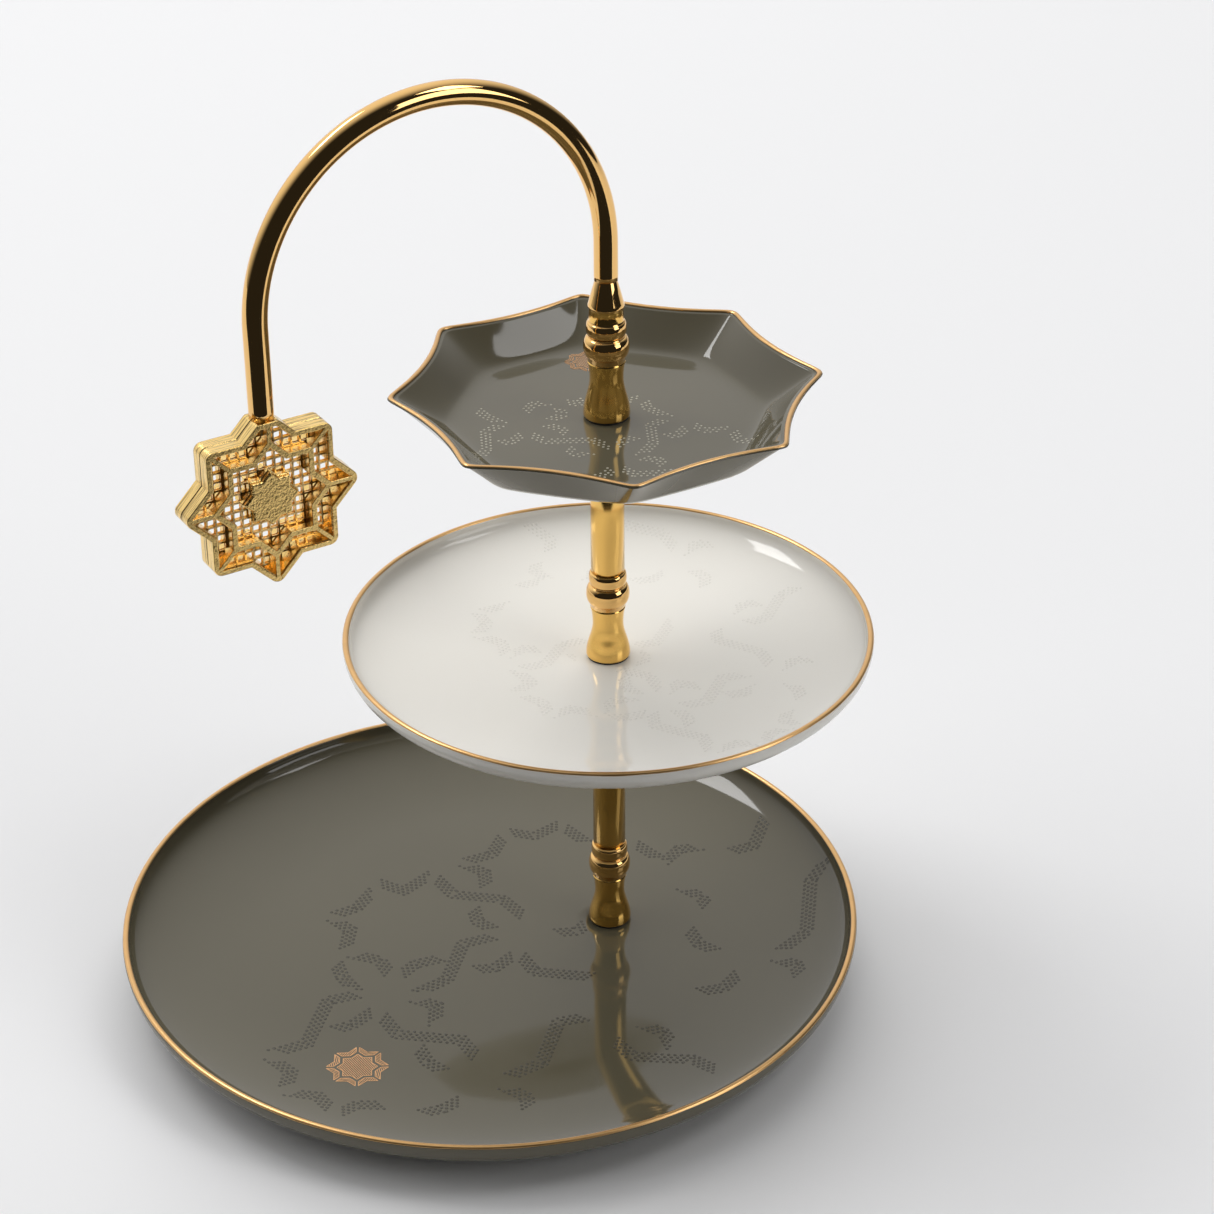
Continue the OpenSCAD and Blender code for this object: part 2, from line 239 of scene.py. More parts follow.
def node(tree, kind, links=(), **values):
    """A shader node with its sockets set by name, and links given as (output, input name)."""
    made = tree.nodes.new(kind)
    for key, value in values.items():
        key = key.replace("_", " ")
        if key in made.inputs:
            made.inputs[key].default_value = value
        else:
            setattr(made, key.replace(" ", "_").lower(), value)
    for output, name in links:
        tree.links.new(output, made.inputs[name])
    return made


def object_point(tree):
    """The point on the piece, in metres from the stand's own origin."""
    return tree.nodes.new("ShaderNodeTexCoord").outputs["Object"]


def two_tone(tree, factor, low, high):
    """A mix of two colours by a factor from 0 to 1."""
    tone = node(tree, "ShaderNodeMix", [(factor, "Factor")], data_type="RGBA")
    tone.inputs["A"].default_value = (*low, 1)
    tone.inputs["B"].default_value = (*high, 1)
    return tone.outputs["Result"]


def roughen(tree, shader, height, strength, distance):
    """Bumps the shader's normal by a height, of the given distance in metres."""
    bump = node(tree, "ShaderNodeBump", [(height, "Height")], Strength=strength, Distance=distance)
    tree.links.new(bump.outputs["Normal"], shader.inputs["Normal"])


RIPPLE = 0.25


def glaze(name, colour, deep, speck):
    """A thick glossy glaze: broad drifts of tone, faint specks, and a slow ripple in its surface."""
    material, shader = new_material(name)
    tree = material.node_tree
    at = object_point(tree)
    drift = node(tree, "ShaderNodeTexNoise", [(at, "Vector")], Scale=14.0, Detail=3.0)
    tone = two_tone(tree, drift.outputs["Fac"], deep, colour)
    grains = node(tree, "ShaderNodeTexNoise", [(at, "Vector")], Scale=1500.0, Detail=1.0)
    few = node(tree, "ShaderNodeMapRange", [(grains.outputs["Fac"], "Value")],
               From_Min=0.70, From_Max=0.80, To_Min=0.0, To_Max=0.5)
    mixed = node(tree, "ShaderNodeMix", [(few.outputs["Result"], "Factor"),
                                         (tone, "A")], data_type="RGBA")
    mixed.inputs["B"].default_value = (*speck, 1)
    tree.links.new(mixed.outputs["Result"], shader.inputs["Base Color"])
    swell = node(tree, "ShaderNodeTexNoise", [(at, "Vector")], Scale=22.0, Detail=1.0)
    roughen(tree, shader, swell.outputs["Fac"], RIPPLE, 0.6 * MM)
    shader.inputs["Roughness"].default_value = 0.06
    shader.inputs["IOR"].default_value = 1.52
    return material


OLIVE = glaze("olive_glaze", (0.116, 0.103, 0.067), (0.107, 0.095, 0.061), (0.12, 0.10, 0.07))


def bare_clay(name, colour):
    """The unglazed, slightly gritty body that shows on a foot ring."""
    material, shader = new_material(name)
    tree = material.node_tree
    grit = node(tree, "ShaderNodeTexNoise", [(object_point(tree), "Vector")], Scale=900.0, Detail=4.0)
    tone = two_tone(tree, grit.outputs["Fac"], [c * 0.8 for c in colour], colour)
    tree.links.new(tone, shader.inputs["Base Color"])
    roughen(tree, shader, grit.outputs["Fac"], 0.4, 0.1 * MM)
    shader.inputs["Roughness"].default_value = 0.85
    return material


CLAY = bare_clay("bare_clay", (0.55, 0.52, 0.46))


def finish_plate(plate, coat, foot_rows, rows, body, cad_node):
    """Glazes a plate, leaves the rows of its foot ring bare, and puts it on its body."""
    plate.data.materials.append(coat)
    plate.data.materials.append(CLAY)
    first, count = foot_rows
    row = rows - 1 - np.arange(len(plate.data.polygons)) // TURN_STEPS
    bare = (row > first + 1) & (row < first + count - 1)
    plate.data.polygons.foreach_set("material_index", bare.astype(np.int32))
    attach(plate, body)
    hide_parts(cad_node)


finish_plate(bottom_plate, OLIVE, foot_rows, base_rows, "stand", "bottom_plate")

# ---- Gold rim of the round plates ----
# A line of liquid gold brushed over the rim by hand, about 2 mm wide. Its edges wander a
# little, and it is duller than the plated metal.


def gold_leaf(name, colour, rough):
    """Fired liquid gold: metallic and a little cloudy."""
    material, shader = new_material(name)
    tree = material.node_tree
    cloud = node(tree, "ShaderNodeTexNoise", [(object_point(tree), "Vector")], Scale=180.0, Detail=3.0)
    tone = two_tone(tree, cloud.outputs["Fac"], [c * 0.82 for c in colour], colour)
    tree.links.new(tone, shader.inputs["Base Color"])
    shader.inputs["Metallic"].default_value = 1.0
    shader.inputs["Roughness"].default_value = rough
    return material


RIM_GOLD = gold_leaf("rim_gold", (0.86, 0.52, 0.22), 0.28)
LEAF_T = 0.05 * MM


def wander(amount, seed, at=around):
    """A smooth closed curve round the plate, as a few sines of whole turns."""
    phases = np.random.default_rng(seed).uniform(0, 2 * np.pi, 6)
    turns = np.array([3, 5, 8, 13, 21, 34])
    return amount * np.sin(turns[:, None] * at + phases[:, None]).sum(0) / 3


def leaf_section(start, end, steps=14):
    """Angles and radii about the rim's centre of a thin closed strip, per step round the plate."""
    t = np.linspace(0, 1, steps)[:, None]
    a = np.radians(start + (end - start) * t)
    lift = RIM_T / 2 + LEAF_T * np.sin(np.pi * t) ** 0.25
    angles = np.concatenate([a, a[::-1]])
    radii = np.concatenate([np.broadcast_to(lift, a.shape), np.full(a.shape, RIM_T / 2 - LEAF_T)])
    return angles, radii


def add_rim_line(name, centre_x, at, ring_r, ring_z, body):
    """A gold strip about centre_x, from its radii and heights at each angle."""
    rings = np.stack([centre_x + ring_r * np.cos(at), ring_r * np.sin(at), ring_z], axis=-1)
    band = add_grid(name, rings[::-1])
    band.data.materials.append(RIM_GOLD)
    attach(band, body)


def add_round_rim(name, centre_x, r, rim_z, seed, body):
    """The gold line over a round rim, from just inside the dish to just outside the edge."""
    angles, radii = leaf_section(146 + wander(5, seed), 28 + wander(5, seed + 1))
    ring_r = r - RIM_T / 2 + radii * np.cos(angles)
    ring_z = rim_z - RIM_T / 2 + radii * np.sin(angles)
    add_rim_line(name, centre_x, around, ring_r, ring_z, body)


add_round_rim("rim_line_bottom", 0, BASE["r"], BASE["rim_z"], 3, "stand")

# ---- Dotted pattern ----
# Bands of small raised enamel dots, laid out as pieces of an eight-pointed star pattern.
# Each band is four or five staggered rows wide, mitred at its bends and pointed at its ends.

DOT_SIDES = 8


def height_on(surface, xy):
    """Heights of a plate at points about its centre. surface is a [radius, height] curve, or a
    function from x and y to a height."""
    if callable(surface):
        return surface(xy[..., 0], xy[..., 1])
    return np.interp(np.hypot(xy[..., 0], xy[..., 1]), surface[:, 0], surface[:, 1])


def band_dots(path, width_rows, pitch, row_gap):
    """Places of the dots of one band: staggered rows along each leg, cut on the mitre at a bend and
    at 45 degrees at the two ends, so that the side inside the nearest bend runs out to a point."""
    path = np.array(path, float)
    legs = np.diff(path, axis=0)
    lengths = np.linalg.norm(legs, axis=1)
    along = legs / lengths[:, None]
    across = np.stack([-along[:, 1], along[:, 0]], axis=1)
    bends = [np.arctan2(a[0] * b[1] - a[1] * b[0], a @ b) for a, b in zip(along[:-1], along[1:])]
    rows = (np.arange(width_rows) - (width_rows - 1) / 2) * row_gap
    spots = []
    for k, length in enumerate(lengths):
        before = bends[k - 1] if k else None
        after = bends[k] if k < len(bends) else None
        side = np.sign(before if before is not None else after if after is not None else 1)
        start = np.tan(before / 2) * rows if k else -side * rows
        side = np.sign(after if after is not None else before if before is not None else 1)
        stop = -np.tan(after / 2) * rows if k < len(bends) else side * rows
        for row, v in enumerate(rows):
            u = np.arange(-40, 60) * pitch + (row % 2) * pitch / 2
            u = u[(u > start[row] - 0.1 * pitch) & (u < length + stop[row] - 0.1 * pitch)]
            spots.append(path[k] + u[:, None] * along[k] + v * across[k])
    return np.concatenate(spots)


def add_dots(name, centre, turned, spots, surface, dot_r, dot_h, material, body):
    """Flat-topped eight-sided dots, each vertex lifted from the plate's own surface below it."""
    c, s = np.cos(turned), np.sin(turned)
    spots = spots @ np.array([[c, s], [-s, c]])
    a = np.arange(DOT_SIDES) * 2 * np.pi / DOT_SIDES
    ring = np.stack([np.cos(a), np.sin(a)], axis=1) * dot_r
    xy = spots[:, None] + np.concatenate([0.6 * ring, ring, ring])
    lift = np.repeat([dot_h, 0.25 * dot_h, -0.03 * MM], DOT_SIDES)
    points = np.concatenate([xy, (height_on(surface, xy) + lift)[..., None]], axis=-1).reshape(-1, 3)
    points[:, 0] += centre
    here = np.arange(DOT_SIDES)
    after = (here + 1) % DOT_SIDES
    skirt = np.stack([here, here + DOT_SIDES, after + DOT_SIDES, after], axis=1)
    cap = np.array([[0, 1, 2, 3], [0, 3, 4, 7], [7, 4, 5, 6]])
    dot = np.concatenate([cap, skirt, skirt + DOT_SIDES, cap[:, ::-1] + 2 * DOT_SIDES])
    faces = (np.arange(len(spots))[:, None, None] * 3 * DOT_SIDES + dot).reshape(-1, 4)
    dots = add_mesh(name, points, faces)
    dots.data.materials.append(material)
    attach(dots, body)
    return dots


def enamel(name, colour, rough):
    """Raised enamel: one colour with a slight unevenness of fill."""
    material, shader = new_material(name)
    tree = material.node_tree
    fill = node(tree, "ShaderNodeTexNoise", [(object_point(tree), "Vector")], Scale=700.0, Detail=2.0)
    tone = two_tone(tree, fill.outputs["Fac"], [c * 0.88 for c in colour],
                    [min(c * 1.1, 1) for c in colour])
    tree.links.new(tone, shader.inputs["Base Color"])
    shader.inputs["Roughness"].default_value = rough
    return material


# Bands of the bottom plate, in millimetres from its centre, before the pattern's own turn.
BASE_BANDS = [
    [(-72, 19), (-63, 24), (-57, 36)], [(-53, 43), (-42, 37), (-31, 49)],
    [(-27, 46), (-19, 34), (4, 30), (14, 17)], [(-9, 22), (-7, 13), (0, 7)],
    [(0, 1), (-13, -4), (-19, -30), (-31, -39)], [(-72, 14), (-65, 7), (-66, -7)],
    [(-61, -12), (-50, -16), (-45, -26)], [(-23, -15), (-34, -19), (-40, -27)],
    [(-6, -23), (2, -22), (10, -13)], [(14, -14), (20, -25), (46, -29)],
    [(-69, -19), (-66, -28), (-60, -37)], [(-59, -41), (-71, -45), (-78, -75), (-91, -82)],
    [(-66, -65), (-59, -62), (-51, -53)], [(-46, -57), (-39, -69), (-11, -73), (-4, -85)],
    [(-31, -45), (-23, -49), (-23, -61)], [(-29, -79), (-25, -88), (-18, -94)],
    [(-91, -88), (-83, -96), (-84, -107)], [(-81, -112), (-70, -113), (-64, -122)],
    [(-43, -118), (-53, -118), (-60, -125)], [(-25, -123), (-17, -120), (-10, -114)],
    [(10, -106), (18, -112), (19, -120)], [(42, -58), (31, -61), (24, -89), (10, -98)],
    [(69, -64), (77, -69), (80, -78)], [(56, -75), (63, -85), (89, -89), (98, -98)],
    [(-13, 61), (-2, 66), (3, 81)], [(-13, 57), (-5, 51), (-4, 41)],
    [(7, 84), (18, 81), (29, 90)], [(33, 87), (43, 75)], [(67, 73), (78, 61)],
    [(81, 61), (87, 69), (96, 70)], [(112, 65), (122, 67), (128, 83)],
    [(89, 37), (96, 31), (99, 23)], [(90, 5), (94, -5), (102, -11)],
    [(94, -40), (104, -38), (111, -28)], [(154, 43), (147, 34), (143, -2), (131, -13)],
    [(130, -20), (137, -26), (138, -34)], [(30, 4), (39, 5), (43, 11)]]
PATTERN_TURN = math.radians(-16.3)
# Painted shade: the dots are matte, and their colour is set darker than the glaze to stand for the
# reflection they lack.
DARK_DOT_PAINTED_SHADE = enamel("matte_dot_painted_shade", (0.062, 0.056, 0.038), 0.22)
spots = np.concatenate([band_dots(np.array(b) * MM, 4, 2.8 * MM, 1.75 * MM) for b in BASE_BANDS])
add_dots("pattern_bottom", 0, PATTERN_TURN, spots, base_surface, 0.8 * MM, 0.05 * MM,
         DARK_DOT_PAINTED_SHADE, "stand")

# ---- Medallions ----
# A small eight-pointed star in copper gold: a hatched star in the middle and eight hatched
# chevrons round it, with thin gaps of glaze between them. One is on each dark plate.

STAR_NOTCH = math.cos(math.pi / 4) / math.cos(math.pi / 8)


def star_corners(r, turned=0.0):
    """The sixteen corners of two crossed squares, point and notch in turn."""
    k = np.arange(16)
    radius = np.where(k % 2 == 0, r, r * STAR_NOTCH)
    a = k * np.pi / 8 + turned
    return np.stack([radius * np.cos(a), radius * np.sin(a)], axis=1)


def clip_to(polygon, a, b):
    """The stretches of the line a to b that lie inside a polygon, as pairs of points."""
    p, q = polygon, np.roll(polygon, -1, axis=0)
    d, e = b - a, q - p
    cross = d[0] * e[:, 1] - d[1] * e[:, 0]
    w = p - a
    with np.errstate(divide="ignore", invalid="ignore"):
        t = (w[:, 0] * e[:, 1] - w[:, 1] * e[:, 0]) / cross
        s = (w[:, 0] * d[1] - w[:, 1] * d[0]) / cross
    cuts = np.sort(t[(s >= 0) & (s < 1) & (t >= 0) & (t <= 1)])
    return [(a + d * cuts[i], a + d * cuts[i + 1]) for i in range(0, len(cuts) - 1, 2)]


def medallion_strokes(r):
    """The hatch strokes: pairs of end points across the middle star and across each chevron."""
    strokes = []
    shapes = [(star_corners(0.62 * r), math.radians(-58))]
    outer, inner = star_corners(r), star_corners(0.74 * r)
    for k in range(8):
        o = outer[[2 * k, 2 * k + 1, (2 * k + 2) % 16]]
        i = inner[[(2 * k + 2) % 16, 2 * k + 1, 2 * k]]
        piece = np.concatenate([o, i])
        middle = piece.mean(axis=0)
        shapes.append((middle + (piece - middle) * 0.84, math.radians(45 * k + 22.5 - 58)))
    for shape, slant in shapes:
        along = np.array([math.cos(slant), math.sin(slant)])
        across = np.array([-along[1], along[0]])
        for k in range(-40, 41):
            start = across * (k + 0.5) * HATCH_GAP
            strokes += [s for s in clip_to(shape, start - along * 2 * r, start + along * 2 * r)
                        if np.linalg.norm(s[1] - s[0]) > 0.3 * MM]
        edge = np.roll(shape, -1, axis=0)
        strokes += list(zip(shape, edge))
    return strokes


HATCH_GAP = 0.85 * MM
HATCH_W = 0.34 * MM


def add_medallion(name, centre, r, turned, surface, origin, body):
    """Every stroke as a thin raised bar that follows the plate's surface, all in one mesh."""
    ends = np.array(medallion_strokes(r))
    c, s = np.cos(turned), np.sin(turned)
    ends = ends @ np.array([[c, s], [-s, c]]) + np.array(centre)
    along = ends[:, 1] - ends[:, 0]
    along /= np.linalg.norm(along, axis=1)[:, None]
    side = np.stack([-along[:, 1], along[:, 0]], axis=1) * HATCH_W / 2
    xy = np.stack([ends[:, 0] - side, ends[:, 1] - side, ends[:, 1] + side, ends[:, 0] + side], axis=1)
    z = height_on(surface, xy)
    low = np.concatenate([xy, (z - 0.03 * MM)[..., None]], axis=-1)
    high = np.concatenate([xy, (z + 0.06 * MM)[..., None]], axis=-1)
    points = np.concatenate([low, high], axis=1).reshape(-1, 3)
    points[:, 0] += origin
    cube = np.array([[3, 2, 1, 0], [4, 5, 6, 7], [0, 1, 5, 4], [1, 2, 6, 5], [2, 3, 7, 6], [3, 0, 4, 7]])
    faces = (np.arange(len(ends))[:, None, None] * 8 + cube).reshape(-1, 4)
    badge = add_mesh(name, points, faces, smooth=False)
    badge.data.materials.append(COPPER_GOLD)
    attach(badge, body)


COPPER_GOLD = gold_leaf("copper_gold", (0.88, 0.50, 0.25), 0.42)


def turned_xy(x, y, angle):
    """A point turned about the origin."""
    return (x * math.cos(angle) - y * math.sin(angle), x * math.sin(angle) + y * math.cos(angle))


add_medallion("medallion_bottom", turned_xy(-54.9 * MM, -91.1 * MM, PATTERN_TURN), 14 * MM,
              math.radians(-16.3 + 3), base_surface, 0, "stand")

# ---- Middle plate ----
# A smaller coupe plate, 230 mm across, under an ivory glaze, with the same gold rim. Its
# dotted pattern is ivory on ivory and hardly shows.

FLOOR_2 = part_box("middle_plate")[0].z + 6.5 * MM
MIDDLE = {"r": 115 * MM, "rim_z": FLOOR_2 + 13.7 * MM, "floor_r": 66 * MM, "floor_z": FLOOR_2,
          "under_z": FLOOR_2 - 4.5 * MM, "foot_r": 68 * MM, "bottom_z": FLOOR_2 - 6.5 * MM}
middle_plate, middle_surface, foot_rows, middle_rows = add_round_plate(
    "plate_middle", COLUMN_X, **MIDDLE)
IVORY = glaze("ivory_glaze", (0.89, 0.865, 0.80), (0.875, 0.85, 0.785), (0.78, 0.74, 0.66))
finish_plate(middle_plate, IVORY, foot_rows, middle_rows, "middle_tier", "middle_plate")
add_round_rim("rim_line_middle", COLUMN_X, MIDDLE["r"], MIDDLE["rim_z"], 5, "middle_tier")

IVORY_DOT = enamel("ivory_enamel", (0.86, 0.835, 0.77), 0.10)
MIDDLE_SCALE = 0.72
spots = np.concatenate([band_dots(np.array(b) * MM * MIDDLE_SCALE, 4, 2.4 * MM, 1.5 * MM)
                        for b in BASE_BANDS])
spots = spots[np.hypot(*spots.T) > 14 * MM]
add_dots("pattern_middle", COLUMN_X, math.radians(60), spots, middle_surface, 0.62 * MM, 0.02 * MM,
         IVORY_DOT, "middle_tier")

# ---- Top plate ----
# An eight-pointed dish, slip cast, with hollow sides and walls that flare from a soft octagon
# floor. Olive-grey glaze, a gold rim line, and raised dots painted pale for the light they reflect.

TOP_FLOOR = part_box("top_plate")[0].z + 4.5 * MM
TOP_DEPTH = 14.7 * MM
TOP_FLOOR_T = 4.5 * MM
TOP_TURN = math.radians(35.7)
SIDE_R = 80.5 * MM
SIDE_ARC_R = 118 * MM
FLOOR_SIDE_R = 63.5 * MM
WALL_EASE = 0.15
FLOOR_END_T = -0.35
STAR_STEPS = 720
star_round = np.linspace(0, 2 * np.pi, STAR_STEPS, endpoint=False)


def side_angle(a, soft):
    """Angle from the middle of the nearest side, with the points rounded over soft degrees."""
    from_point = np.pi / 8 - np.abs(np.mod(a, np.pi / 4) - np.pi / 8)
    return np.pi / 8 - np.sqrt(from_point ** 2 + np.radians(soft) ** 2)


def rim_outline(a):
    """Rim radius: hollow arcs between eight rounded points."""
    s, d = side_angle(a, 1.8), SIDE_R + SIDE_ARC_R
    return d * np.cos(s) - np.sqrt(SIDE_ARC_R ** 2 - (d * np.sin(s)) ** 2)


def floor_outline(a):
    """Floor radius: an octagon with soft corners."""
    return FLOOR_SIDE_R / np.cos(side_angle(a, 5))


def eased(t):
    """Zero well below t = 0, 2 t well above it, with a soft bend between."""
    return t + np.sqrt(t * t + WALL_EASE ** 2)


def wall_rise(t):
    """Height of the wall as a share of its depth: eases out of the floor, then runs straight."""
    return (eased(t) - eased(FLOOR_END_T)) / (eased(1) - eased(FLOOR_END_T))


def star_rings(levels, at=star_round):
    """Rings about the column, each from (share from floor to rim, outward growth, height)."""
    t, grow, z = np.array(levels)[:, :, None].transpose(1, 0, 2)
    r = floor_outline(at) * (1 - t) + rim_outline(at) * t + grow
    return np.stack([COLUMN_X + r * np.cos(at + TOP_TURN), r * np.sin(at + TOP_TURN),
                     TOP_FLOOR + np.broadcast_to(z, r.shape)], axis=-1)


ROLL_R = 1.4 * MM
ROLL_AT = (-1.45 * MM, TOP_DEPTH - 1.3 * MM)
inner_levels = [(t, -RIM_T * max(t, 0), TOP_DEPTH * wall_rise(t))
                for t in np.linspace(FLOOR_END_T, 0.95, 44)]
rim_levels = [(1, x, z) for x, z in arc_curve(ROLL_AT, ROLL_R, 165, 10, 14)]
outer_levels = [(t, RIM_T * (1 - t), -TOP_FLOOR_T + (TOP_DEPTH + TOP_FLOOR_T) * t)
                for t in np.linspace(0.93, 0.10, 20)]
base_edge = [(0.04, 2.2 * MM, -TOP_FLOOR_T + 0.35 * MM), (0.0, 1.4 * MM, -TOP_FLOOR_T + 0.06 * MM),
             (0, 0.4 * MM, -TOP_FLOOR_T)]
moulded = star_rings(inner_levels + rim_levels + outer_levels + base_edge)


def flat_rings(outline, z, shares):
    """Flat rings between the bore and an outline, by share of the way out."""
    bore = np.stack([COLUMN_X + HOLE_R * np.cos(star_round + TOP_TURN),
                     HOLE_R * np.sin(star_round + TOP_TURN)], axis=-1)
    share = np.array(shares)[:, None, None]
    xy = bore * (1 - share) + outline[:, :2] * share
    return np.concatenate([xy, np.full(xy.shape[:2] + (1,), z)], axis=-1)


flat = np.linspace(0.1, 0.95, 9)
rings = np.concatenate([flat_rings(moulded[0], TOP_FLOOR, [0.0, *flat]), moulded,
                        flat_rings(moulded[-1], TOP_FLOOR - TOP_FLOOR_T, [*flat[::-1], 0.0])])
top_plate = add_grid("plate_top", rings[::-1])
top_plate.data.materials.append(OLIVE)
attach(top_plate, "top_tier")
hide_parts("top_plate")

angles, radii = leaf_section(150 + wander(5, 11, star_round), 40 + wander(5, 12, star_round))
radii -= RIM_T / 2 - ROLL_R
add_rim_line("rim_line_top", COLUMN_X, star_round + TOP_TURN,
             rim_outline(star_round) + ROLL_AT[0] + radii * np.cos(angles),
             TOP_FLOOR + ROLL_AT[1] + radii * np.sin(angles), "top_tier")

# Bands of the top plate, in millimetres from the column, before the pattern's own turn.
TOP_BANDS = [
    [(-54, 6), (-50, 0), (-44, -6)], [(-44, -8), (-50, -14), (-49, -30), (-52, -38)],
    [(-44, -24), (-39, -23), (-35, -17)], [(-31, -17), (-25, -23), (-6, -22), (1, -28)],
    [(-34, 4), (-31, 11), (-25, 12)], [(-20, 7), (-18, 1), (-24, -4)],
    [(-17, 13), (-12, 11), (-9, 16)], [(-25, -8), (-19, -12), (-16, -17)],
    [(-16, -29), (-13, -34), (-7, -36)], [(4, -27), (8, -22), (13, -19)],
    [(7, 13), (13, 16)], [(16, 13), (17, 7), (25, -1)], [(24, -4), (18, -9), (19, -25), (14, -35)],
    [(24, -19), (29, -18), (33, -11)], [(36, -9), (40, -14), (49, -13)],
    [(52, -15), (54, -23), (61, -26)], [(14, -38), (21, -40), (23, -45)],
    [(-4, -54), (0, -52), (2, -47)], [(6, -47), (11, -52), (21, -51), (33, -49)]]
# Painted reflection: the dots are coloured pale for the light they catch at this angle.
PALE_DOT_PAINTED_SHEEN = enamel("dot_enamel_painted_sheen", (0.44, 0.42, 0.33), 0.3)


def top_surface(x, y):
    """Height of the star plate's upper face at x and y from the column: the depth times wall_rise
    of the share t of the way out from the floor's outline to the rim's."""
    a = np.arctan2(y, x) - TOP_TURN
    past_floor = np.hypot(x, y) - floor_outline(a)
    run = rim_outline(a) - floor_outline(a)
    t = np.where(past_floor > 0, past_floor / (run - RIM_T), past_floor / run)
    return TOP_FLOOR + TOP_DEPTH * wall_rise(np.clip(t, FLOOR_END_T, 1))


spots = np.concatenate([band_dots(np.array(b) * MM, 3, 2.5 * MM, 1.8 * MM) for b in TOP_BANDS])
add_dots("pattern_top", COLUMN_X, PATTERN_TURN, spots, top_surface, 0.56 * MM, 0.06 * MM,
         PALE_DOT_PAINTED_SHEEN, "top_tier")
add_medallion("medallion_top", turned_xy(-8.5 * MM, 51.8 * MM, PATTERN_TURN), 10 * MM,
              math.radians(-16.3 + 3), top_surface, COLUMN_X, "top_tier")

# ---- Turned feet, ferrule and tubes ----
# The feet and the ferrule are turned from brass bar: a flared foot with a groove, then a
# large and a small bead. All are gold plated; the beads are polished and the rest is satin.

LATHE_STEPS = 128
lathe_round = np.linspace(0, 2 * np.pi, LATHE_STEPS, endpoint=False)


def plated(name, colour, rough, tool_marks, mark_scale):
    """Gold plating over metal: faint cloudiness, and rings left by the lathe across its height."""
    material, shader = new_material(name)
    tree = material.node_tree
    at = object_point(tree)
    cloud = node(tree, "ShaderNodeTexNoise", [(at, "Vector")], Scale=60.0, Detail=4.0)
    tone = two_tone(tree, cloud.outputs["Fac"], [c * 0.95 for c in colour], colour)
    tree.links.new(tone, shader.inputs["Base Color"])
    smear = node(tree, "ShaderNodeMapping", [(at, "Vector")], Scale=(40, 40, 4000 * mark_scale))
    marks = node(tree, "ShaderNodeTexNoise", [(smear.outputs["Vector"], "Vector")], Scale=1.0, Detail=3.0)
    roughen(tree, shader, marks.outputs["Fac"], tool_marks, 0.05 * MM)
    spread = node(tree, "ShaderNodeMapRange", [(marks.outputs["Fac"], "Value")],
                  From_Min=0.3, From_Max=0.7, To_Min=rough * 0.8, To_Max=rough * 1.25)
    tree.links.new(spread.outputs["Result"], shader.inputs["Roughness"])
    shader.inputs["Metallic"].default_value = 1.0
    return material


GOLD = (0.99, 0.62, 0.18)
WARM_GOLD = (0.98, 0.61, 0.23)
SATIN = plated("satin_gold", GOLD, 0.12, 0.02, 0.2)
POLISHED = plated("polished_gold", WARM_GOLD, 0.05, 0.01, 0.15)


def bead_curve(z, half_h, neck_r, peak_r, steps=19):
    """Half-round moulding on a neck."""
    a = np.radians(np.linspace(-90, 90, steps))
    return np.stack([neck_r + (peak_r - neck_r) * np.cos(a), z + half_h * np.sin(a)], axis=1)


def flare_curve(flare_r, waist_z, waist_r, top_z, top_r):
    """S-curve from a rounded lower edge in to the waist, then a slow swelling up to the groove."""
    low = np.linspace(0.9, waist_z, 30)
    s_curve = waist_r + (flare_r - waist_r) * (1 + np.cos(np.pi * (low - 0.9) / (waist_z - 0.9))) / 2
    t = np.linspace(0.08, 1, 12)
    return np.concatenate([
        arc_curve((flare_r - 0.7, 0.7), 0.7, -90, 0, 7)[:-1],
        np.stack([s_curve, low], 1),
        np.stack([waist_r + (top_r - waist_r) * t * t, waist_z + (top_z - waist_z) * t], 1)])


def groove(z, r):
    """A fine cut round the foot."""
    return [[r - 0.35, z + 0.08], [r - 0.4, z + 0.3], [r - 0.35, z + 0.52], [r, z + 0.6]]


def add_turned(name, profile_mm, foot_z, bright, body, cad_node):
    """A closed turned piece on the column; bright lists the height spans, in mm, that are polished."""
    profile = np.array(profile_mm) * MM
    r, z = profile[:, 0, None], profile[:, 1, None] + foot_z
    rings = np.stack([COLUMN_X + r * np.cos(lathe_round), r * np.sin(lathe_round),
                      np.broadcast_to(z, (len(r), LATHE_STEPS))], axis=-1)
    piece = add_grid(name, rings)
    piece.data.materials.append(SATIN)
    piece.data.materials.append(POLISHED)
    height = (profile[:, 1] / MM)
    middle = (height + np.roll(height, -1)) / 2
    shiny = np.zeros(len(height), bool)
    for low, high in bright:
        shiny |= (middle > low) & (middle < high)
    piece.data.polygons.foreach_set("material_index", np.repeat(shiny, LATHE_STEPS).astype(np.int32))
    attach(piece, body)
    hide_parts(cad_node)


TUBE_R = 7.25
BORE = [[3.0, 0.0]]
foot_profile = np.concatenate([
    BORE, flare_curve(9.6, 16, 6.7, 24, 7.6), groove(24, 7.6), bead_curve(30.6, 4.4, 7.5, 9.4),
    bead_curve(38.3, 2.8, 7.45, 8.2, 13), [[TUBE_R, 41.4], [6.25, 41.42], [6.25, 53.4], [3.0, 53.4]],
    [[3.0, 30.0]]])
FOOT_BRIGHT = [(25.0, 41.3)]
for name in ("lower_foot", "middle_foot"):
    add_turned("turned_" + name, foot_profile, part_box(name)[0].z, FOOT_BRIGHT, "stand", name)

